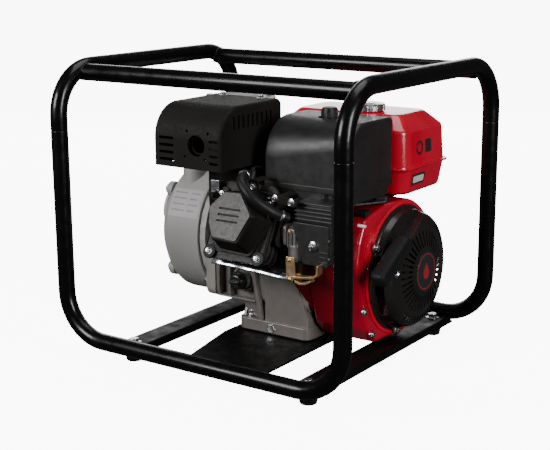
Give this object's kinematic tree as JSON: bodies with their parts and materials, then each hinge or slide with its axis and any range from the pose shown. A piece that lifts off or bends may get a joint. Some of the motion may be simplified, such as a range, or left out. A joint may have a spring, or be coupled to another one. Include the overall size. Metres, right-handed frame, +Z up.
{
  "type": "portable fire pump",
  "caption": "Engine-driven centrifugal water pump with slanted-cylinder petrol engine, recoil starter and drum-shaped pump end, in a black bent-tube carry frame.",
  "frame": {"origin": "middle of the footprint, on the ground under the rubber feet", "axes": "+X along the crankshaft from the pump end to the recoil starter, -Y towards the valve cover, +Z up"},
  "size_m": [0.5174, 0.4494, 0.4467],
  "materials": {
    "frame_paint": "gloss black powder coat",
    "rubber": "matt",
    "cast_grey": "satin sand-cast, grey-brown",
    "cast_silver": "satin silver-grey",
    "dark_cast": "satin dark painted casting",
    "black_sheet": "satin heat-proof black",
    "black_plastic": "satin moulded",
    "gloss_plastic": "gloss moulded black",
    "red_paint": "gloss red",
    "steel": "machined",
    "zinc": "bright zinc plate",
    "brass": "yellow passivated",
    "chrome": "polished",
    "foam": "open-cell foam",
    "iron": "as cast",
    "label": "printed film, blank"
  },
  "bodies": {
    "chassis": {"left_hoop": "frame_paint", "right_hoop": "frame_paint", "front_sill": "frame_paint", "rear_sill": "frame_paint", "front_rail": "frame_paint", "rear_rail": "frame_paint", "left_crossmember": "frame_paint", "right_crossmember": "frame_paint", "engine_plate": "frame_paint", "foot_front_left": "rubber", "foot_front_right": "rubber", "foot_rear_left": "rubber", "foot_rear_right": "rubber", "shaft_seal": "rubber", "breather_hose": "rubber", "plug_lead": "rubber", "crankcase": "cast_grey", "side_cover": "cast_grey", "connecting_rod": "cast_grey", "cylinder_head": "dark_cast", "valve_cover": "dark_cast", "pump_casing": "cast_silver", "pump_back_plate": "cast_silver", "inlet_cover": "cast_silver", "outlet_flange": "cast_silver", "carburettor": "cast_silver", "piston": "cast_silver", "volute": "iron", "spark_plug": "steel", "muffler_can": "steel", "float_bowl": "brass", "muffler_shield": "black_sheet", "control_bracket": "black_sheet", "air_cleaner_cover": "black_plastic", "air_cleaner_base": "black_plastic", "intake_elbow": "black_plastic", "ignition_coil": "black_plastic", "recoil_cover": "gloss_plastic", "fan_shroud": "red_paint", "fuel_tank": "red_paint", "air_filter_element": "foam"},
    "crank": {"crankshaft": "steel", "rod_big_end": "cast_grey", "flywheel_fan": "cast_silver", "starter_cup": "steel", "impeller": "iron"},
    "recoil_reel": {"recoil_pulley": "black_plastic"},
    "recoil_grip": {"recoil_handle": "black_plastic", "recoil_rope": "rubber"},
    "throttle": {"throttle_lever": "black_plastic"},
    "choke": {"choke_lever": "black_plastic"},
    "fuel_valve": {"fuel_valve_lever": "black_plastic"},
    "switch": {"engine_switch": "black_plastic"},
    "tank_cap": {"fuel_cap": "chrome"},
    "cleaner_nut": {"air_cleaner_knob": "black_plastic"},
    "oil_cap": {"oil_filler_cap": "black_plastic"},
    "oil_drain": {"oil_drain_bolt": "zinc"},
    "priming": {"priming_cap": "black_plastic"},
    "pump_drain": {"pump_drain_plug": "brass"},
    "check_flap": {"check_valve_flap": "rubber"}
  },
  "joints": [
    {"name": "crank_spin", "type": "hinge", "parent": "chassis", "child": "crank", "pos_m": [0.009, 0.07, 0.135], "axis": [1, 0, 0], "continuous": true},
    {"name": "starter_pull", "type": "slide", "parent": "chassis", "child": "recoil_grip", "axis": [0, -0.7071, 0.7071], "range_m": [0, 0.5], "stiffness_N_per_m": 30, "springref_m": -0.2},
    {"name": "reel_turn", "type": "hinge", "parent": "chassis", "child": "recoil_reel", "pos_m": [0.202, 0.07, 0.135], "axis": [1, 0, 0], "range_deg": [-700, 0]},
    {"name": "throttle_turn", "type": "hinge", "parent": "chassis", "child": "throttle", "pos_m": [0.141, -0.022, 0.2445], "axis": [0, 0, 1], "range_deg": [-15, 20]},
    {"name": "choke_turn", "type": "hinge", "parent": "chassis", "child": "choke", "pos_m": [0.153, -0.074, 0.206], "axis": [1, 0, 0], "range_deg": [-50, 0]},
    {"name": "fuel_valve_turn", "type": "hinge", "parent": "chassis", "child": "fuel_valve", "pos_m": [0.153, -0.074, 0.18], "axis": [1, 0, 0], "range_deg": [0, 60]},
    {"name": "switch_turn", "type": "hinge", "parent": "chassis", "child": "switch", "pos_m": [0.158, -0.014, 0.2296], "axis": [0, -0.2841, 0.9588], "range_deg": [0, 45]},
    {"name": "tank_cap_turn", "type": "hinge", "parent": "chassis", "child": "tank_cap", "pos_m": [0.1, 0.095, 0.365], "axis": [0, 0, 1], "range_deg": [0, 90]},
    {"name": "cleaner_nut_turn", "type": "hinge", "parent": "chassis", "child": "cleaner_nut", "pos_m": [0.09, 0, 0.374], "axis": [0, 0, 1], "range_deg": [0, 360]},
    {"name": "oil_cap_turn", "type": "hinge", "parent": "chassis", "child": "oil_cap", "pos_m": [-0.042, -0.055, 0.108], "axis": [0, -1, 0], "range_deg": [0, 360]},
    {"name": "oil_drain_turn", "type": "hinge", "parent": "chassis", "child": "oil_drain", "pos_m": [0.01, -0.035, 0.037], "axis": [0, -1, 0], "range_deg": [0, 360]},
    {"name": "priming_cap_turn", "type": "hinge", "parent": "chassis", "child": "priming", "pos_m": [-0.176, 0.016, 0.282], "axis": [0, 0, 1], "range_deg": [0, 360]},
    {"name": "pump_drain_turn", "type": "hinge", "parent": "chassis", "child": "pump_drain", "pos_m": [-0.209, 0.07, 0.074], "axis": [-1, 0, 0], "range_deg": [0, 360]},
    {"name": "check_flap_swing", "type": "hinge", "parent": "chassis", "child": "check_flap", "pos_m": [-0.195, 0.07, 0.2155], "axis": [0, -1, 0], "range_deg": [0, 20]}
  ],
  "couplings": [
    {"joint": "reel_turn", "follows": "starter_pull", "rad_per_m": -23.981}
  ]
}
